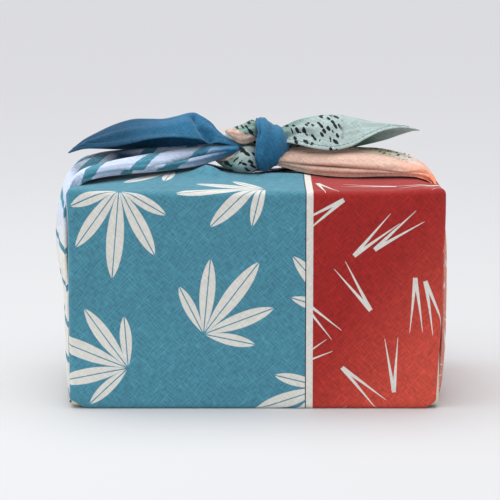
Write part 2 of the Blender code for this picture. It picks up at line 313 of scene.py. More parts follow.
# The fields of the cloth, in metres along its diagonal: where each turns into the next.
TIP_TO_INNER = (-0.54, -0.48)
TIP_TO_STRIPES = (-0.428, -0.385)
PALE_TO_CREAM = (-0.285, -0.235)
STRIPES_TO_TEAL = (-0.1375, -0.1365)
RED_TO_LIGHT = (-0.08, 0.05)
RED_TO_ORANGE = (0.262, 0.292)
ORANGE_TO_PEACH = (0.285, 0.335)
CREAM_TO_OLIVE = (0.305, 0.352)
PEACH_TO_MINT = (0.429, 0.4315)
SAGE_TO_MINT = (0.46, 0.482)

# The teal and red fields meet along a straight cream stripe with a dark line.
SEAM_PLACE = 0.036
SEAM_STRIPE = 0.0056
SEAM_LINE = 0.0007

# The left gather's diagonal stripes, and the weave's threads and slubs: each one's
# breadth and how many times longer it is.
STRIPE_PITCH = 0.0215
STRIPE_ANGLE = -0.62
THREAD_WEAVE = (0.0008, 8)
SLUB_WEAVE = (0.0013, 13)

# The motifs: the angle, length and breadth of a sprig's leaves and the midrib left out
# of each, a needle's size, and the pitch, shift, turn and jitter of their cells.
BAMBOO_LEAVES = (
    (-1.1, 0.038, 0.0078), (-0.54, 0.054, 0.01), (0.02, 0.066, 0.0112), (0.58, 0.055, 0.01),
    (1.14, 0.039, 0.0078),
)
MIDRIB = (0.00025, 0.00055)
NEEDLE_LENGTH = 0.041
NEEDLE_BREADTH = 0.00135
PINE_CELLS = ((0.056, (0.012, 0.027), 0.9, 0.16), (0.061, (0.041, 0.003), 2.1, 0.16))
HAIL_CELLS = ((0.0066, (0, 0), 0.5), (0.006, (0.0021, 0.0037), 0.75))


def between(rows, count):
    """Read a smooth curve through a table's rows at even steps, as one upright array a column."""
    table = np.array(rows, dtype=float)
    last = len(table) - 1
    place = np.clip(np.linspace(0, 1, count) * last, 0, last - 1e-9)
    index = place.astype(int)
    step = (place - index)[:, None]
    before, after = table[np.maximum(index - 1, 0)], table[np.minimum(index + 2, last)]
    start, end = table[index], table[index + 1]
    bend = 2 * before - 5 * start + 4 * end - after
    twist = 3 * (start - end) + after - before
    read = start + 0.5 * step * (end - before + step * (bend + step * twist))
    return read.T[..., None]


def ease(value, low, high):
    """Smooth step from 0 at low to 1 at high."""
    share = np.clip((value - low) / (high - low), 0, 1)
    return share * share * (3 - 2 * share)


def hump(off, breadth):
    """Bell that is 1 where off is 0 and fades over a breadth."""
    return np.exp(-((off / breadth) ** 2))


def beside(value, half, start, end):
    """Smooth step from the middle to either side, between two distances from the side."""
    return ease(np.abs(value), half - start, half - end)


def ripple(across, along, seed):
    """Gentle uneven swell between about -1 and 1, the same on each run."""
    total = np.zeros(np.broadcast(across, along).shape)
    picker = np.random.default_rng(seed)
    for _ in range(5):
        across_rate, along_rate = picker.uniform(-1, 1, 2)
        phase = picker.uniform(0, 2 * pi)
        total = total + np.sin(2 * pi * (across * across_rate + along * along_rate) + phase)
    return total / 3.2


def surface_normals(points):
    """Unit normals of a grid of points, from its own differences."""
    normals = np.cross(np.gradient(points, axis=0), np.gradient(points, axis=1))
    return normals / np.maximum(np.linalg.norm(normals, axis=2, keepdims=True), 1e-9)


def arc_length(points, axis):
    """Running length of a grid along one of its two ways."""
    steps = np.linalg.norm(np.diff(points, axis=axis), axis=2)
    shape = list(steps.shape)
    shape[axis] = 1
    return np.concatenate([np.zeros(shape), np.cumsum(steps, axis=axis)], axis=axis)


def put(name, data):
    """Add an object to the scene."""
    thing = bpy.data.objects.new(name, data)
    bpy.context.scene.collection.objects.link(thing)
    return thing


def weld(mesh, distance, outward=False):
    """Merge a mesh's doubled points, and turn its faces outward if asked to."""
    shape = bmesh.new()
    shape.from_mesh(mesh)
    bmesh.ops.remove_doubles(shape, verts=shape.verts, dist=distance)
    if outward:
        bmesh.ops.recalc_face_normals(shape, faces=shape.faces)
    shape.to_mesh(mesh)
    shape.free()


def sheet_object(name, points, cloth, flip=False):
    """Mesh a grid of points in millimetres, with its place on the flat cloth as UVs."""
    rows, columns = points.shape[:2]
    index = np.arange(rows * columns).reshape(rows, columns)
    quads = np.stack([index[:-1, :-1], index[:-1, 1:], index[1:, 1:], index[1:, :-1]], axis=-1)
    quads = quads.reshape(-1, 4)[:, ::-1 if flip else 1]
    mesh = bpy.data.meshes.new(name)
    mesh.from_pydata((points.reshape(-1, 3) * MM).tolist(), [], quads.tolist())
    layer = mesh.uv_layers.new(name="cloth")
    corners = np.zeros(len(mesh.loops), dtype=np.int32)
    mesh.loops.foreach_get("vertex_index", corners)
    places = cloth.reshape(-1, 2)[corners] * MM
    layer.data.foreach_set("uv", places.astype(np.float32).ravel())
    weld(mesh, 1e-6)
    mesh.shade_smooth()
    return put(name, mesh)


def thicken(thing, thickness, offset):
    """Give an open surface the thickness of cloth, its inner side in the second slot."""
    wall = thing.modifiers.new("cloth", "SOLIDIFY")
    wall.thickness = thickness
    wall.offset = offset
    wall.material_offset = 1
    solid = thing.evaluated_get(bpy.context.evaluated_depsgraph_get())
    mesh = bpy.data.meshes.new_from_object(solid)
    thing.modifiers.clear()
    thing.data = mesh


def fold_valleys(turns, folds, share):
    """How deep each point of a bundle's arch lies in a crease, from 0 to 1."""
    places = [np.interp(share, *zip(*fold.places)) for fold in folds]
    valley = np.zeros((len(share), len(turns)))
    for fold, following, start, end in zip(folds, folds[1:], places, places[1:]):
        inside = (turns >= start) & (turns <= end)
        part = np.clip((turns - start) / np.maximum(end - start, 1e-6), 0, 1)
        depth = fold.depth + (following.depth - fold.depth) * part
        crease = depth * (1 - np.sin(pi * part ** fold.skew) ** fold.edge)
        valley = np.where(inside, crease, valley)
    return valley * np.sin(pi * turns) ** 0.25


def gather_points(stations, folds, hand, seed):
    """Points and cloth places of one side's sleeve and gather, as closed rings."""
    rings, steps = GATHER_GRID
    share = np.linspace(0, 1, rings)[:, None]
    even = np.linspace(0, 1, steps)
    turns = even - CROWDING * np.sin(2 * pi * even) / (2 * pi)
    arc = np.sin(pi * turns)
    out, height, lean, half_width, rise, depth, belly, arch, middle = between(stations, rings)
    sleeve = 1 - ease(share, *SLEEVE_END)
    tuck = TUCK[hand] * ease(share, *TUCK_START)

    at_edge = 1 - ease(np.minimum(turns, 1 - turns), *EDGE_TURNS)
    lift = rise * arc ** arch * (1 - FLATTENING * sleeve * at_edge)
    curl = hump(turns - LIP_PLACE, LIP_BREADTH) - hump(1 - LIP_PLACE - turns, LIP_BREADTH)
    across = (SLOT * sleeve - half_width) * np.cos(pi * turns) - LIP * curl * sleeve
    across = across + np.sign(0.5 - turns) * tuck * hump(lift, TUCK_HEIGHT)
    slope = np.stack([np.gradient(across, turns, axis=1), np.gradient(lift, turns, axis=1)])
    slope = slope / np.maximum(np.hypot(*slope), 1e-9)

    waves = PLEAT_COUNT * turns + 0.9 * ripple(turns * 2, share * 1.5, seed + 2)
    pleat = 1 - np.abs(np.sin(pi * waves)) ** 0.7
    swell = GATHER_SWELL * ripple(turns * 9, share * 7, seed)
    swell = swell + GATHER_FINE_SWELL * ripple(turns * 26, share * 5, seed + 1)
    start = np.interp(share, *zip(*folds[1].places))
    away = np.maximum(turns - start, 0) / LAP_BREADTH
    lap = LAP * ease(share, *LAP_START) * ease(start, 0, 0.03) * np.tanh(4 * away) * np.exp(-away)
    inward = depth * fold_valleys(turns, folds, share) - 0.9 * lap
    inward = inward + PLEAT_DEPTH * pleat * (0.25 + 0.75 * sleeve)
    inward = inward - swell * arc ** 0.5 * np.minimum(1, rise / 5)
    across = across + slope[1] * inward - slope[0] * lap
    lift = lift - slope[0] * inward - slope[1] * lap

    under = np.linspace(0, 1, steps // 5)[1:]
    across = np.hstack([across, (half_width - tuck) * np.cos(pi * under)])
    lift = np.hstack([lift, -belly * np.sin(pi * under) ** 0.8])
    lean = np.radians(lean)
    x = hand * (out + lift * np.cos(lean))
    points = np.stack([x, middle + across, height + lift * np.sin(lean)], axis=-1)
    over = arc_length(points[:, :steps], 1)
    cloth = np.zeros((*points.shape[:2], 2))
    cloth[..., 0] = hand * (HALF_WIDTH + arc_length(points, 0)[:, steps // 2, None])
    cloth[:, :steps, 1] = over - over[:, steps // 2, None]
    front, back = cloth[:, :1, 1], cloth[:, steps - 1:steps, 1]
    cloth[:, steps:, 1] = back + (front - back) * under
    return points, cloth


def crease_depth(creases, out, height):
    """How deep the pulled creases of a tail lie at each place on its front."""
    deep = np.zeros_like(out)
    for places, breadth, depth in creases:
        nearest = np.full_like(out, 1e9)
        for (x1, z1), (x2, z2) in zip(places, places[1:]):
            run, climb = x2 - x1, z2 - z1
            share = ((out - x1) * run + (height - z1) * climb) / (run ** 2 + climb ** 2)
            share = np.clip(share, 0, 1)
            off = np.hypot(out - x1 - share * run, height - z1 - share * climb)
            nearest = np.minimum(nearest, off)
        deep = deep + depth * hump(nearest, breadth)
    return deep


def tail_points(tail, hem):
    """Points and cloth places of one tail, with its hems along both free edges."""
    rows, columns = TAIL_GRID
    share = np.linspace(0, 1, rows)[:, None]
    places = np.linspace(-1, 1, columns)
    out, ridge_y, ridge_z, front_y, front_z, back_y, back_z = between(tail.arches, rows)
    edge_y = np.where(places < 0, front_y, back_y)
    edge_z = np.where(places < 0, front_z, back_z)
    y = ridge_y + (edge_y - ridge_y) * np.abs(places) ** 0.85
    z = ridge_z + (edge_z - ridge_z) * np.abs(places) ** 1.6
    points = np.stack([tail.hand * out + 0 * y, y, z], axis=-1)
    over = arc_length(points, 1)
    edge = np.minimum(over, over[:, -1:] - over)
    fan = TAIL_SWELL * ripple(places * 2.4, share * 0.8, tail.seed)
    fine = TAIL_FINE_SWELL * ripple(places * 7, share * 1.6, tail.seed + 1)
    raised = HEM_RISE * (1 - ease(edge, hem - 0.5, hem + 0.3))
    raised = raised - HEM_GROOVE * hump(edge - hem, 0.6)
    pulled = crease_depth(tail.creases, out + 0 * z, z) * (1 - ease(places, -0.3, 0.05))
    lift = (fan + fine + raised) * ease(over[:, -1:], 8, 30) - pulled
    cloth = np.zeros((rows, columns, 2))
    cloth[..., 0] = tail.hand * (TAIL_START + arc_length(points, 0)[:, columns // 2, None])
    cloth[..., 1] = over - over[:, columns // 2, None]
    return points + surface_normals(points) * tail.hand * lift[..., None], cloth


def bead_points(beads, ridge_depth, seed):
    """Points of a row of upright ovals, with creases that run along the box."""
    rings, steps = BEAD_GRID
    share = (np.arange(rings) / rings)[:, None]
    turns = np.linspace(0, 2 * pi, steps)
    x, y, z, along_y, along_z = between(beads, rings)
    swell = LOBE_SWELL * ripple(np.cos(turns) * 1.2 + np.sin(turns), share * 1.5, seed)
    ridge = np.abs(np.sin(turns * RIDGE_COUNT / 2 + 0.8 + 0.6 * np.sin(3 * share))) ** 0.6
    size = 1 + swell - ridge_depth * (1 - ridge)
    y = y + along_y * np.cos(turns) * size
    return np.stack([x + 0 * y, y, z + along_z * np.sin(turns) * size], axis=-1)


def band_points():
    """Points of the knot's upright band, softly creased round its own way."""
    rings, steps = BAND_GRID
    share = np.linspace(0, 1, rings)[:, None]
    turns = np.linspace(0, 2 * pi, steps)
    level, height = np.cos(turns), np.sin(turns)
    x, y, z, along_y, along_z = between(BAND, rings)
    broad = np.sin(2 * pi * (share * 3.4 + 0.1 * np.sin(turns * 2)))
    fine = np.sin(2 * pi * (share * 9 + 0.3 * np.cos(turns * 2 + 1)))
    crease = (BAND_CREASE * broad + BAND_FINE_CREASE * fine) * np.sin(pi * share).clip(0) ** 0.5
    tuck = hump(x - 3.8, 1.4) * np.maximum(-level, 0) ** 0.5 * ease(height, 0.25, 0.55)
    size = crease - 1.5 * tuck
    x = x + (1 - ease(share, 0, 0.4)) * np.interp(height, *BAND_EDGE)
    y = y + (along_y + size) * np.sign(level) * np.abs(level) ** 0.72
    return np.stack([x, y, z + (along_z + size) * height], axis=-1)


def round_block(lines):
    """Six grids of a block whose edges are rounded, softest along the top front edge."""
    half = np.array([HALF_WIDTH, HALF_DEPTH, HEIGHT / 2])
    faces = []
    for axis, sign in ((1, -1), (2, 1), (1, 1), (2, -1), (0, -1), (0, 1)):
        others = lines[:axis] + lines[axis + 1:]
        grids = list(np.meshgrid(*others, indexing="ij"))
        grids.insert(axis, np.full_like(grids[0], sign * half[axis]))
        points = np.stack(grids, axis=-1)
        height = ease(points[..., 2], HEIGHT / 2 - 40, HEIGHT / 2)
        front = ease(-points[..., 1], HALF_DEPTH - 40, HALF_DEPTH)
        soft = (3 + 0.2 * height + 1.2 * height * front)[..., None]
        core = np.clip(points, -(half - soft), half - soft)
        gap = points - core
        length = np.maximum(np.linalg.norm(gap, axis=-1, keepdims=True), 1e-9)
        faces.append((axis, sign, points, core + gap / length * soft))
    return faces


def edge_lines(half, spacing):
    """Grid lines across a side of the block, closer together at its rounded ends."""
    count = max(int(round(2 * (half - END_REACH) / spacing)), 2)
    middle = np.linspace(END_REACH - half, half - END_REACH, count + 1)
    return np.concatenate([-half + END_LINES, middle, half - END_LINES[::-1]])


def cover_cloth_places(axis, sign, points):
    """Places on the flat cloth of the block's points, unfolded from the base."""
    x, y, z = points[..., 0], points[..., 1], points[..., 2] + HEIGHT / 2
    if axis == 1:
        return np.stack([x, sign * (HALF_DEPTH + z)], axis=-1)
    if axis == 2:
        return np.stack([x, y if sign < 0 else -(2 * HALF_DEPTH + HEIGHT + y)], axis=-1)
    near = np.where(y < 0, -1, 1) * (HALF_DEPTH + z)
    return np.stack([sign * (HALF_WIDTH + HALF_DEPTH - np.abs(y)), near], axis=-1)


def top_pull(x, y):
    """How far the gathers and the knot lift the layers on top of the box."""
    ridge = np.interp(x, *RIDGE) * hump(y - RIDGE_Y, 8)
    pull = np.interp(x, *TOP_PULL) * hump(y, 52)
    return pull * (1 - beside(y, HALF_DEPTH, 24, 6)) + ridge


def press_creases(points):
    """Push soft creases and an uneven swell into the front and back of the cover."""
    x, y, z = np.moveaxis(points, -1, 0)
    press = FRONT_SWELL * ripple(x / 110, z / 90, 11)
    press = press + FRONT_FINE_SWELL * ripple(x / 34, z / 30, 12)
    for x1, z1, x2, z2, breadth, depth in FRONT_CREASES:
        reach = np.hypot(x2 - x1, z2 - z1)
        run, climb = (x2 - x1) / reach, (z2 - z1) / reach
        along = (x - x1) * run + (z - z1) * climb
        off = (x - x1) * climb - (z - z1) * run
        inside = ease(along, -10, 12) * (1 - ease(along, reach - 12, reach + 10))
        shoulder = hump(off - 1.6 * breadth, breadth)
        press = press + depth * inside * (hump(off, breadth) - 0.7 * shoulder)
    flat = ease(z, 3, 14) * (1 - beside(x, HALF_WIDTH, 12, 2)) * (1 - beside(z, HEIGHT, 14, 4))
    y = y - np.sign(y) * press * flat * beside(y, HALF_DEPTH, 8, 0)
    taper = 3.6 * (1 - ease(z, 0, 90)) - 1.4 * ease(z, 95, 145)
    x = x - taper * ease(x, HALF_WIDTH - 40, HALF_WIDTH)
    corner = beside(x, HALF_WIDTH, 45, 4) * beside(y, HALF_DEPTH, 30, 4)
    z = z + CORNER_RISE * corner * beside(z, HEIGHT, 12, 1)
    x = x + ease(-x, HALF_WIDTH - 30, HALF_WIDTH) * (1 - beside(z, HEIGHT, 30, 0))
    z = z + FOOT_RISE * beside(x, HALF_WIDTH, 14, 0) * (1 - ease(z, 0, 16))
    return np.stack([x, y, z], axis=-1)


def make_cover():
    """The cloth that lies flat on the box: underside, front, top, back and inner sides."""
    halves = (HALF_WIDTH, HALF_DEPTH, HEIGHT / 2)
    pieces = []
    for axis, sign, square, points in round_block(list(map(edge_lines, halves, COVER_SPACING))):
        cloth = cover_cloth_places(axis, sign, square)
        points[..., 2] += HEIGHT / 2
        points = press_creases(points)
        if axis == 2 and sign > 0:
            x, y = points[..., 0], points[..., 1]
            inner = (1 - beside(y, HALF_DEPTH, 40, 10)) * (1 - beside(x, HALF_WIDTH, 50, 15))
            points[..., 2] += TOP_SWELL * ripple(x / 70, y / 60, 21) * inner + top_pull(x, y)
        pieces.append(sheet_object("cover", points, cloth, flip=(sign > 0) == (axis == 1)))
    cover = join("cover", pieces)
    weld(cover.data, 1e-5, outward=True)
    return cover


def flap_points():
    """Points and cloth places of the back flap, from its tip under the knot to the back edge."""
    rows, columns = FLAP_GRID
    end = HALF_DEPTH - 5
    along, across = np.meshgrid(np.linspace(0, 1, rows), np.linspace(-1, 1, columns), indexing="ij")
    y = FLAP_TIP_Y + (end - FLAP_TIP_Y) * along
    start = np.where(across < 0, FLAP_TIP_LEFT, FLAP_TIP_RIGHT)
    half = start + (FLAP_BACK_HALF - start) * along
    x = across * half
    edge = half * (1 - np.abs(across)) * 0.7
    z = HEIGHT + 0.9 + top_pull(x, y) + 0.4 * ripple(x / 60, y / 50, 31) * ease(edge, 4, 20)
    z = z + np.interp(x, *FLAP_LIFT) * (1 - ease(edge, 0, 22))
    z = z + 0.35 * (1 - ease(edge, 3.5, 4.3)) - 1.1 * ease(y, end - 14, end)
    return np.stack([x, y, z], axis=-1), np.stack([x, 2 * HALF_DEPTH + HEIGHT - y], axis=-1)


def hem_lines(points, inset, side):
    """Lines just inside the two long edges of a sheet, on its outer face, from end to end."""
    over = arc_length(points, 1)
    face = points + surface_normals(points) * side * 0.42
    lines = []
    for reach in (over, over[:, ::-1][:, :1] - over):
        line = []
        for row, place in zip(face, reach):
            order = np.argsort(place)
            if place.max() > 3 * inset:
                line.append([np.interp(inset, place[order], axis[order]) for axis in row.T])
        lines.append(line)
    return lines


def stitch_tree(stitch):
    """Geometry nodes that lay one thread stitch after another along curves."""
    tree = bpy.data.node_groups.new("hem stitches", "GeometryNodeTree")
    tree.is_modifier = True
    for label, way in (("Lines", "INPUT"), ("Stitches", "OUTPUT")):
        tree.interface.new_socket(label, in_out=way, socket_type="NodeSocketGeometry")
    pen = Pen(tree)
    lines = Value(pen, pen.node("NodeGroupInput").outputs["Lines"])
    pace = {"Curve": lines, "Length": stitch + STITCH_GAP}
    places = pen.run("GeometryNodeResampleCurve", pace, mode="LENGTH")
    way = {"Vector": pen.run("GeometryNodeInputTangent", {})}
    turn = pen.run("FunctionNodeAlignRotationToVector", way, axis="Z")
    size = {"Vertices": 5, "Radius": THREAD_RADIUS, "Depth": stitch}
    thread = pen.run("GeometryNodeMeshCylinder", size)
    laid = {"Points": places, "Instance": thread, "Rotation": turn}
    laid = {"Geometry": pen.run("GeometryNodeInstanceOnPoints", laid)}
    real = pen.run("GeometryNodeRealizeInstances", laid)
    sewn = {"Geometry": real, "Material": thread_material()}
    sewn = pen.run("GeometryNodeSetMaterial", sewn)
    pen.feed(pen.node("NodeGroupOutput").inputs["Stitches"], sewn)
    return tree


def make_stitches(lines, stitch):
    """Stitch along lines given in millimetres."""
    curve = bpy.data.curves.new("hem_lines", "CURVE")
    curve.dimensions = "3D"
    for line in lines:
        spline = curve.splines.new("POLY")
        spline.points.add(len(line) - 1)
        places = np.hstack([np.array(line) * MM, np.ones((len(line), 1))])
        spline.points.foreach_set("co", places.ravel())
    guide = put("hem_lines", curve)
    guide.modifiers.new("stitches", "NODES").node_group = stitch_tree(stitch)
    sewn = guide.evaluated_get(bpy.context.evaluated_depsgraph_get())
    mesh = bpy.data.meshes.new_from_object(sewn)
    mesh.name = "hem_stitches"
    bpy.data.objects.remove(guide)
    bpy.data.curves.remove(curve)
    return put("hem_stitches", mesh)


def join(name, things):
    """Make one object of several, the first giving its place in the list of slots."""
    first = things[0]
    chosen = {"selected_objects": things, "selected_editable_objects": things}
    with bpy.context.temp_override(active_object=first, object=first, **chosen):
        bpy.ops.object.join()
    first.name = first.data.name = name
    return first


# ---------------------------------------------------------------- shader parts


def linear(red, green, blue):
    """Scene colour of a paint or dye named by its 0 to 255 screen values."""
    shares = np.array((red, green, blue)) / 255
    light = np.where(shares <= 0.04045, shares / 12.92, ((shares + 0.055) / 1.055) ** 2.4)
    return (*light.tolist(), 1)


def signed(operation, swap=False):
    """Method that joins two values of a shader by one operation."""
    def work(self, other):
        return self.pen.math(operation, *((other, self) if swap else (self, other)))
    return work


class Value:
    """A node's output, which takes the usual signs of arithmetic."""

    def __init__(self, pen, socket):
        self.pen, self.socket = pen, socket

    __add__ = signed("ADD")
    __mul__ = signed("MULTIPLY")
    __sub__ = signed("SUBTRACT")
    __rsub__ = signed("SUBTRACT", swap=True)
    __truediv__ = signed("DIVIDE")
    __gt__ = signed("GREATER_THAN")
    __lt__ = signed("LESS_THAN")

    def __abs__(self):
        return self.pen.math("ABSOLUTE", self)


class Pen:
    """Short hand for adding and linking nodes in one tree."""

    def __init__(self, tree):
        self.tree = tree

    def node(self, kind, **settings):
        made = self.tree.nodes.new(kind)
        for key, value in settings.items():
            setattr(made, key, value)
        return made

    def feed(self, socket, value):
        if isinstance(value, Value):
            self.tree.links.new(value.socket, socket)
        else:
            socket.default_value = value

    def run(self, kind, feeds, out=0, **settings):
        """Add a node, feed its inputs and give one of its outputs."""
        made = self.node(kind, **settings)
        for key, value in feeds.items():
            self.feed(made.inputs[key], value)
        return Value(self, made.outputs[out])

    def math(self, operation, *values, clamp=False):
        feeds = dict(enumerate(values))
        return self.run("ShaderNodeMath", feeds, operation=operation, use_clamp=clamp)

    def vector(self, operation, *values, out=0):
        return self.run("ShaderNodeVectorMath", dict(enumerate(values)), out, operation=operation)

    def scale(self, vector, factor):
        return self.run("ShaderNodeVectorMath", {0: vector, "Scale": factor}, operation="SCALE")

    def split(self, vector):
        made = self.run("ShaderNodeSeparateXYZ", {0: vector}).socket.node
        return Value(self, made.outputs[0]), Value(self, made.outputs[1])

    def pair(self, x, y):
        return self.run("ShaderNodeCombineXYZ", {0: x, 1: y})

    def smooth(self, value, low, high):
        feeds = {"Value": value, "From Min": low, "From Max": high}
        return self.run("ShaderNodeMapRange", feeds, "Result", interpolation_type="SMOOTHSTEP")

    def mix(self, share, first, second):
        feeds = {"Factor": share, "A": first, "B": second}
        return self.run("ShaderNodeMix", feeds, "Result", data_type="RGBA")

    def noise(self, vector, scale, detail, kind="2D"):
        feeds = {"Vector": vector, "Scale": scale, "Detail": detail}
        return self.run("ShaderNodeTexNoise", feeds, noise_dimensions=kind)

    def turn(self, vector, angle):
        feeds = {"Vector": vector, "Angle": angle}
        return self.run("ShaderNodeVectorRotate", feeds, rotation_type="Z_AXIS")

    def most(self, values):
        return reduce(lambda one, other: self.math("MAXIMUM", one, other), values)

    def here(self):
        return Value(self, self.node("ShaderNodeTexCoord").outputs["Object"])


def shared(pen, draw, results, **given):
    """Put the node group that a function draws in a tree, and give its results."""
    tree = bpy.data.node_groups.get(draw.__name__)
    if tree is None:
        tree = bpy.data.node_groups.new(draw.__name__, "ShaderNodeTree")
        for label, value in given.items():
            kind = "NodeSocketVector" if isinstance(value, Value) else "NodeSocketColor"
            tree.interface.new_socket(label, in_out="INPUT", socket_type=kind)
        for label in results:
            kind = "NodeSocketColor" if label == "colour" else "NodeSocketFloat"
            tree.interface.new_socket(label, in_out="OUTPUT", socket_type=kind)
        inner = Pen(tree)
        start, end = inner.node("NodeGroupInput"), inner.node("NodeGroupOutput")
        drawn = draw(inner, **{label: Value(inner, start.outputs[label]) for label in given})
        for label, value in zip(results, drawn):
            inner.feed(end.inputs[label], value)
    made = pen.node("ShaderNodeGroup", node_tree=tree)
    for label, value in given.items():
        pen.feed(made.inputs[label], value)
    return [Value(pen, made.outputs[label]) for label in results]


def slub_weave(pen, cloth):
    """Plain slub weave on the bias: threads at both diagonals, a few of them thicker."""
    shades, heights = [], []
    for angle in (pi / 4, -pi / 4):
        across, along = pen.split(pen.turn(cloth, angle))
        fine, thick = (
            pen.noise(pen.pair(across / width, along / (width * length)), 1, 1)
            for width, length in (THREAD_WEAVE, SLUB_WEAVE)
        )
        slub = pen.smooth(thick, 0.6, 0.78)
        shades.append(fine + slub * 0.35)
        heights.append(fine + slub * 0.6)
    return shades[0] + shades[1], heights[0] + heights[1]


def leaf_mask(pen, place, angle, length, breadth):
    """One lens-shaped leaf from the origin, at an angle, with a thin midrib left out."""
    along, across = pen.split(pen.turn(place, angle))
    share = pen.math("DIVIDE", along, length, clamp=True)
    half = share * pen.math("POWER", 1 - share, 0.75) * (breadth * 1.9)
    return pen.smooth(half - abs(across), 0, 0.0005) * pen.smooth(abs(across), *MIDRIB)


def scattered(pen, cloth, pitch, shift, angle, jitter):
    """Offset rows of cells: the place inside a cell, and its own random number."""
    moved = pen.turn(pen.vector("ADD", cloth, (*shift, 0)), angle)
    across, along = pen.split(pen.scale(moved, 1 / pitch))
    row = pen.math("FLOOR", along)
    slid = across + pen.math("MODULO", abs(row), 2) * 0.5
    cell = pen.math("FLOOR", slid)
    feeds = {"Vector": pen.pair(cell, row)}
    chance = pen.run("ShaderNodeTexWhiteNoise", feeds, "Value", noise_dimensions="2D")
    red, green = pen.split(Value(pen, chance.socket.node.outputs["Color"]))
    x = slid - cell - 0.5 + (red - 0.5) * jitter
    y = along - row - 0.5 + (green - 0.5) * jitter
    return pen.scale(pen.pair(x, y), pitch), chance


def sprig(pen, cloth, *cells):
    """The place in a scattered cell, turned at random round a point beside its middle."""
    place, chance = scattered(pen, cloth, *cells)
    return pen.vector("ADD", pen.turn(place, chance * (2 * pi)), (0.02, 0, 0))


def bamboo_sprigs(pen, cloth):
    """Scattered sprigs of bamboo leaves, an old and common cloth motif."""
    place = sprig(pen, cloth, 0.088, (0.031, 0.018), 0.3, 0.12)
    return [pen.most([leaf_mask(pen, place, *leaf) for leaf in BAMBOO_LEAVES])]


def pine_needles(pen, cloth):
    """Scattered pairs of pine needles, each a narrow V."""
    needles = []
    for cells in PINE_CELLS:
        place = sprig(pen, cloth, *cells)
        for angle in (-0.12, 0.12):
            along, across = pen.split(pen.turn(place, angle))
            share = along / NEEDLE_LENGTH
            inside = pen.smooth(share, 0, 0.02) * (1 - pen.smooth(share, 0.97, 1))
            half = (1.25 - share) * NEEDLE_BREADTH
            needles.append(pen.smooth(half - abs(across), 0, 0.0004) * inside)
    return [pen.most(needles)]


def hail_dots(pen, cloth):
    """Small dark hail dots in offset rows, some of them left out."""
    clumps = pen.noise(cloth, 110, 0)
    dots = []
    for pitch, shift, lay in HAIL_CELLS:
        place, chance = scattered(pen, cloth, pitch, shift, lay, 0.55)
        stretched = pen.vector("MULTIPLY", pen.turn(place, 1.05 - lay), (0.4, 1, 1))
        size = chance * 0.0007 + 0.00055
        dot = pen.smooth(size - pen.vector("LENGTH", stretched, out="Value"), -0.0001, 0.0001)
        dots.append(dot * (clumps + chance * 0.35 > 0.62))
    return [pen.most(dots)]


def colour_fields(pen, cloth, navy, inner_blue, pale, teal, cream, red, light_red, orange, peach,
                  mint, sage, olive, ink):
    """Colour fields of the cloth along its diagonal, each with its motif, and painted shade on the
    left gather's rear wall.
    """
    u, v = pen.split(cloth)
    mix, smooth = pen.mix, pen.smooth
    motifs = (bamboo_sprigs, pine_needles, hail_dots)
    bamboo, pine, hail = (shared(pen, draw, ["mask"], cloth=cloth)[0] for draw in motifs)

    tip = mix(smooth(u, *TIP_TO_INNER), navy, inner_blue)
    way, _ = pen.split(pen.turn(cloth, STRIPE_ANGLE))
    stripe = pen.math("SINE", way * (2 * pi / STRIPE_PITCH)) - smooth(u, -0.31, -0.27) * 0.3
    bleached = mix(smooth(u, *PALE_TO_CREAM), pale, cream)
    striped = mix(smooth(stripe, 0.52, 0.6), bleached, teal)
    # The rear wall of the left gather, in the trough under the tail: navy print towards the knot,
    # and farther out the stripes darkened half way to ink as painted shade.
    shaded_rear_wall = smooth(v + u * 0.738, -0.288, -0.282) * (1 - smooth(v, -0.012, -0.002))
    shaded_rear_wall = shaded_rear_wall * (1 - smooth(u, -0.306, -0.298))
    deep = mix(smooth(u, -0.341, -0.331), navy, mix(0.48, striped, ink))
    left = mix(smooth(u, *TIP_TO_STRIPES), tip, mix(shaded_rear_wall, striped, deep))
    left = mix(smooth(u, *STRIPES_TO_TEAL), left, mix(bamboo, teal, cream))

    ground = mix(smooth(u + v * 0.8, *RED_TO_LIGHT), red, light_red)
    ground = mix(smooth(u, 0.1375, 0.15) * 0.5, ground, peach)
    warm = mix(smooth(u, *ORANGE_TO_PEACH), orange, peach)
    right = mix(smooth(u, *RED_TO_ORANGE), mix(pine, ground, cream), warm)
    dotted = smooth(u, 0.312, 0.316) - smooth(u, 0.489, 0.494)
    plain = mix(smooth(u + v * -2.2, *SAGE_TO_MINT), sage, mint)
    plain = mix(smooth(u, 0.418, 0.422), mix(smooth(u, *CREAM_TO_OLIVE), cream, olive), plain)
    behind = smooth(v + u * -0.54, -0.214, -0.199) * (smooth(u, 0.292, 0.322) * 0.9)
    corner = pen.most([smooth(u, *PEACH_TO_MINT), behind])
    right = mix(corner, right, mix(hail * dotted, plain, ink))

    colour = mix(u > SEAM_PLACE + SEAM_STRIPE, cream, right)
    colour = mix(u > SEAM_PLACE + SEAM_LINE, ink, colour)
    colour = mix(u > SEAM_PLACE, left, colour)
    back_corner = smooth(v, 0.262, 0.275) * (abs(u) < 0.16)
    return [mix(back_corner, colour, pale)]


def new_material(name, roughness):
    """A material, its pen and its shader's inputs."""
    material = bpy.data.materials.new(name)
    material.use_nodes = True
    shader = material.node_tree.nodes["Principled BSDF"].inputs
    shader["Roughness"].default_value = roughness
    return material, Pen(material.node_tree), shader


def raise_surface(pen, shader, height, strength, distance):
    """Raise a shader's surface by a height."""
    feeds = {"Strength": strength, "Distance": distance, "Height": height}
    pen.feed(shader["Normal"], pen.run("ShaderNodeBump", feeds))


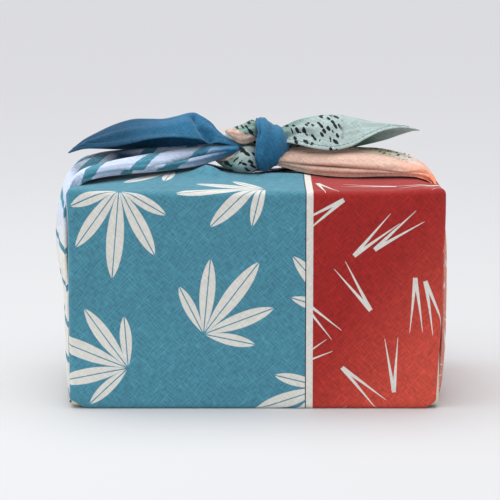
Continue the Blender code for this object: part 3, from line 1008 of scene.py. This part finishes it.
def cloth_material(name, reverse):
    """Printed slub cotton, or its paler unprinted side."""
    material, pen, shader = new_material(name, 0.84)
    shader["Sheen Weight"].default_value = 0.13
    shader["Sheen Roughness"].default_value = 0.45
    shader["Specular IOR Level"].default_value = 0.25
    cloth = pen.run("ShaderNodeUVMap", {}, uv_map="cloth")
    chosen = bpy.context.scene.furoshiki_colours
    dyes = {key: (*getattr(chosen, key), 1) for key in FUROSHIKI_PG_colours.__annotations__}
    colour, = shared(pen, colour_fields, ["colour"], cloth=cloth, **dyes)
    shade, height = shared(pen, slub_weave, ["shade", "height"], cloth=cloth)
    shade = shade * 0.62 + 0.34 + (pen.noise(cloth, 38, 3) - 0.5) * 0.14
    plain = pen.smooth(pen.run("ShaderNodeRGBToBW", {0: colour}), 0.15, 0.75)
    shade = (shade - 1) * (plain * -0.7 + 1) + 1
    # Painted light: the cloth is made up to 9 % lighter for light bounced up from the floor, fading
    # in down the front and left out on the top.
    shade = shade * (pen.smooth(pen.split(cloth)[1], -0.2, -0.1) * 0.09 + 1)
    colour = pen.scale(colour, shade)
    if reverse:
        colour = pen.mix(0.75, colour, linear(222, 228, 224))
    pen.feed(shader["Base Color"], colour)
    raise_surface(pen, shader, height, 0.35, 0.0004)
    return material


def thread_material():
    """Polyester sewing thread, dusty blue."""
    material, pen, shader = new_material("sewing thread", 0.6)
    twist = pen.noise(pen.here(), 2600, 1, kind="3D")
    pen.feed(shader["Base Color"], pen.mix(twist, linear(50, 80, 92), linear(66, 98, 108)))
    return material


def board_material():
    """Plain grey-white paperboard of the hidden box."""
    material, pen, shader = new_material("paperboard", 0.9)
    fibre = pen.noise(pen.here(), 420, 4, kind="3D")
    pen.feed(shader["Base Color"], pen.mix(fibre, linear(196, 182, 158), linear(218, 206, 184)))
    raise_surface(pen, shader, fibre, 0.2, 0.0003)
    return material


# ------------------------------------------------------------------ the add-on


def colour_property(name, description, red, green, blue):
    """Colour property whose default is a dye's screen values."""
    return bpy.props.FloatVectorProperty(
        name=name, description=description, subtype="COLOR", size=3, min=0, max=1,
        default=linear(red, green, blue)[:3],
    )


def length_property(name, description, default, low, high):
    """Length property in metres."""
    return bpy.props.FloatProperty(
        name=name, description=description, default=default, min=low, max=high, unit="LENGTH",
    )


class FUROSHIKI_PG_sizes(bpy.types.PropertyGroup):
    """Sizes of the cloth as it is drawn."""

    cloth_thickness: length_property(
        "Cloth thickness", "Thickness of one layer of the slub cotton", 0.0006, 0.0002, 0.002
    )
    hem: length_property("Hem", "Breadth of the stitched hem", 0.004, 0.002, 0.01)
    stitch: length_property("Stitch", "Length of one hem stitch", 0.0024, 0.001, 0.006)


class FUROSHIKI_PG_colours(bpy.types.PropertyGroup):
    """Dyes of the printed cloth, from the left corner to the right one."""

    navy: colour_property("Navy", "Left corner and the knot's upright band", 19, 66, 95)
    inner_blue: colour_property("Inner blue", "Where the left corner meets the knot", 39, 99, 134)
    pale: colour_property("Pale lavender", "Ground of the striped left gather", 184, 195, 217)
    teal: colour_property("Teal", "Left field of the front", 70, 130, 149)
    cream: colour_property("Cream", "Leaves, needles and the dividing stripe", 209, 207, 201)
    red: colour_property("Brick red", "Right field of the front", 151, 32, 30)
    light_red: colour_property("Light brick", "Right field towards its lower corner", 194, 74, 60)
    orange: colour_property("Orange", "Right gather at the shoulder", 234, 140, 104)
    peach: colour_property("Peach", "Right gather at the neck", 202, 169, 153)
    mint: colour_property("Mint", "Right corner", 153, 170, 167)
    sage: colour_property("Sage", "Where the right corner leaves the knot", 112, 142, 134)
    olive: colour_property("Olive", "Back of the right gather, towards the knot", 130, 136, 102)
    ink: colour_property("Ink", "Hail dots on the mint", 18, 24, 30)


def built(name):
    """A part or piece made by an earlier operator."""
    thing = bpy.data.objects.get(name)
    if thing is None:
        raise RuntimeError(f"{name} isn't built yet")
    return thing


def cut(context, name, sheet, offset, flip=False):
    """Make a sheet of its points and cloth places, with the cloth's thickness."""
    thickness = context.scene.furoshiki_sizes.cloth_thickness
    thicken(sheet_object(name, *sheet, flip=flip), thickness, offset)


class FUROSHIKI_OT_cover(bpy.types.Operator):
    """Build the cloth that lies flat on the box"""

    bl_idname = "furoshiki.cover"
    bl_label = "Cover"

    def execute(self, context):
        thicken(make_cover(), context.scene.furoshiki_sizes.cloth_thickness, -1)
        return {"FINISHED"}


class FUROSHIKI_OT_flap(bpy.types.Operator):
    """Build the back flap that ends in a tip under the knot"""

    bl_idname = "furoshiki.flap"
    bl_label = "Back flap"

    def execute(self, context):
        cut(context, "flap", flap_points(), 0)
        return {"FINISHED"}


class FUROSHIKI_OT_gathers(bpy.types.Operator):
    """Build the pleated sides and the gathers that rise to the knot"""

    bl_idname = "furoshiki.gathers"
    bl_label = "Sides and gathers"

    def execute(self, context):
        for name, *side, hand, seed in (
            ("left_gather", LEFT_GATHER, LEFT_FOLDS, -1, 41),
            ("right_gather", RIGHT_GATHER, RIGHT_FOLDS, 1, 52),
        ):
            cut(context, name, gather_points(*side, hand, seed), -1, flip=hand > 0)
        return {"FINISHED"}


class FUROSHIKI_OT_tails(bpy.types.Operator):
    """Build the two loose corners of the cloth"""

    bl_idname = "furoshiki.tails"
    bl_label = "Tails"

    def execute(self, context):
        hem = context.scene.furoshiki_sizes.hem / MM
        for tail in TAILS:
            cut(context, tail.name, tail_points(tail, hem), 0, flip=tail.hand > 0)
        return {"FINISHED"}


class FUROSHIKI_OT_stitches(bpy.types.Operator):
    """Sew the hems of the two tails and the back flap"""

    bl_idname = "furoshiki.stitches"
    bl_label = "Hem stitches"

    def execute(self, context):
        sizes = context.scene.furoshiki_sizes
        hem = sizes.hem / MM
        inset = hem - STITCH_INSET
        lines = hem_lines(flap_points()[0], 1.4 * inset, -1)
        for tail in TAILS:
            lines += hem_lines(tail_points(tail, hem)[0], inset, tail.hand)
        stitches = make_stitches(lines, sizes.stitch)
        if not stitches.data.polygons:
            raise RuntimeError("the hems have no stitches")
        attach(stitches, "root")
        return {"FINISHED"}


class FUROSHIKI_OT_knot(bpy.types.Operator):
    """Build the square knot: the upright band and the other end's lobes"""

    bl_idname = "furoshiki.knot"
    bl_label = "Knot"

    def execute(self, context):
        points = band_points()
        cloth = (-(TAIL_START + 1 + 0.7 * arc_length(points, 1)), points[..., 0])
        cut(context, "knot_band", (points, np.stack(cloth, axis=-1)), -1)
        for name, beads, ridge_depth, seed in (
            ("upper_lobe", UPPER_LOBE, 0.17, 81),
            ("lower_lobe", LOWER_LOBE, 0.06, 82),
            ("back_bend", BACK_BEND, 0.06, 83),
        ):
            points = bead_points(beads, ridge_depth, seed)
            x, z = points[..., 0], points[..., 2]
            middle, top = z.mean(axis=1, keepdims=True), z.max(axis=1, keepdims=True)
            cloth = {
                "upper_lobe": (z - middle - np.interp(x, *UPPER_PRINT), x - 6),
                "lower_lobe": (top - z - np.interp(x, *LOWER_PRINT), -30 - x),
                "back_bend": (15 + z - middle, x),
            }[name]
            cloth = (TAIL_START + cloth[0], cloth[1])
            cut(context, name, (points, np.stack(cloth, axis=-1)), -1)
        return {"FINISHED"}


class FUROSHIKI_OT_cloth(bpy.types.Operator):
    """Join the parts of the one cloth, dye it and hand it to the frame"""

    bl_idname = "furoshiki.cloth"
    bl_label = "Whole cloth"

    def execute(self, context):
        parts = ("cover", "flap", "left_gather", "right_gather", "left_tail", "right_tail",
                 "knot_band", "upper_lobe", "lower_lobe", "back_bend")
        cloth = join("furoshiki_cloth", [built(name) for name in parts])
        cloth.data.materials.clear()
        cloth.data.materials.append(cloth_material("printed cotton", False))
        cloth.data.materials.append(cloth_material("cotton reverse", True))
        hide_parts("furoshiki")
        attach(cloth, "root")
        return {"FINISHED"}


class FUROSHIKI_OT_box(bpy.types.Operator):
    """Give the hidden box its board"""

    bl_idname = "furoshiki.box"
    bl_label = "Box"

    def execute(self, context):
        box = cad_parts["wrapped_box"]
        box.data.materials.clear()
        box.data.materials.append(board_material())
        return {"FINISHED"}


class FUROSHIKI_OT_stage(bpy.types.Operator):
    """Set a pale floor, soft studio lights and the camera"""

    bl_idname = "furoshiki.stage"
    bl_label = "Stage"

    def execute(self, context):
        make_floor()
        make_lights()
        make_camera()
        context.scene.view_settings.view_transform = "Standard"
        return {"FINISHED"}


class FUROSHIKI_PT_panel(bpy.types.Panel):
    """Sizes, dyes and steps of the furoshiki wrap"""

    bl_idname = "FUROSHIKI_PT_panel"
    bl_label = "Furoshiki wrap"
    bl_space_type = "VIEW_3D"
    bl_region_type = "UI"
    bl_category = "Furoshiki"

    def draw(self, context):
        layout = self.layout
        for group in (context.scene.furoshiki_sizes, context.scene.furoshiki_colours):
            box = layout.box()
            for name in group.__annotations__:
                box.prop(group, name)
        for operator in OPERATORS:
            layout.operator(operator.bl_idname)


def make_floor():
    """Wide pale floor with painted shade: darker paper near the box, a little lighter far away."""
    mesh = bpy.data.meshes.new("floor")
    half = FLOOR_HALF
    corners = [(-half, -half, 0), (half, -half, 0), (half, half, 0), (-half, half, 0)]
    mesh.from_pydata(corners, [], [(0, 1, 2, 3)])
    material, pen, shader = new_material("studio paper", 0.8)
    x, y = pen.split(pen.here())
    reach = pen.math("SQRT", x * x + y * y)
    # Painted shade: the paper is darker within about 3 m of the box.
    paper = pen.mix(pen.smooth(reach, 0, 3), linear(199, 200, 202), linear(213, 213, 216))
    pen.feed(shader["Base Color"], paper)
    mesh.materials.append(material)
    put("floor", mesh)


def area_light(name, place, aim, size, power):
    """Soft square light that faces a point."""
    light = bpy.data.lights.new(name, "AREA")
    light.size = size
    light.energy = power
    lamp = put(name, light)
    lamp.location = place
    lamp.rotation_euler = (Vector(aim) - Vector(place)).to_track_quat("-Z", "Y").to_euler()


def make_lights():
    """Broad even light from above, a softbox overhead, low fills round the box and a light sky."""
    sun = bpy.data.lights.new("broad light", "SUN")
    sun.angle = radians(SUN_BREADTH)
    sun.energy = SUN_POWER
    put("broad light", sun).rotation_euler = (radians(4), radians(-2.5), 0)
    for light in LIGHTS:
        area_light(*light)
    world = bpy.data.worlds.new("studio air")
    world.use_nodes = True
    back = world.node_tree.nodes["Background"].inputs
    back["Color"].default_value = linear(246, 247, 250)
    back["Strength"].default_value = SKY_POWER
    bpy.context.scene.world = world


def make_camera():
    """Long lens a little above the level of the box."""
    lift = radians(CAMERA_LIFT)
    camera = bpy.data.cameras.new("camera")
    camera.sensor_width = 36
    camera.lens = camera.sensor_width * CAMERA_DISTANCE / CAMERA_WIDTH
    camera.clip_end = 90
    stand = put("camera", camera)
    away = Vector((0, -cos(lift), sin(lift))) * CAMERA_DISTANCE
    stand.location = (Vector(CAMERA_AIM) + away) * MM
    stand.rotation_euler = (pi / 2 - lift, 0, 0)
    bpy.context.scene.camera = stand


OPERATORS = (
    FUROSHIKI_OT_cover, FUROSHIKI_OT_flap, FUROSHIKI_OT_gathers,
    FUROSHIKI_OT_tails, FUROSHIKI_OT_stitches, FUROSHIKI_OT_knot,
    FUROSHIKI_OT_cloth, FUROSHIKI_OT_box, FUROSHIKI_OT_stage,
)
CLASSES = (FUROSHIKI_PG_sizes, FUROSHIKI_PG_colours, *OPERATORS, FUROSHIKI_PT_panel)


def register():
    for item in CLASSES:
        bpy.utils.register_class(item)
    bpy.types.Scene.furoshiki_sizes = bpy.props.PointerProperty(type=FUROSHIKI_PG_sizes)
    bpy.types.Scene.furoshiki_colours = bpy.props.PointerProperty(type=FUROSHIKI_PG_colours)


def unregister():
    del bpy.types.Scene.furoshiki_colours
    del bpy.types.Scene.furoshiki_sizes
    for item in reversed(CLASSES):
        bpy.utils.unregister_class(item)


def main():
    register()
    bpy.ops.furoshiki.cover()
    bpy.ops.furoshiki.flap()
    bpy.ops.furoshiki.gathers()
    bpy.ops.furoshiki.tails()
    bpy.ops.furoshiki.stitches()
    bpy.ops.furoshiki.knot()
    bpy.ops.furoshiki.cloth()
    bpy.ops.furoshiki.box()
    bpy.ops.furoshiki.stage()


if __name__ == "__main__":
    main()
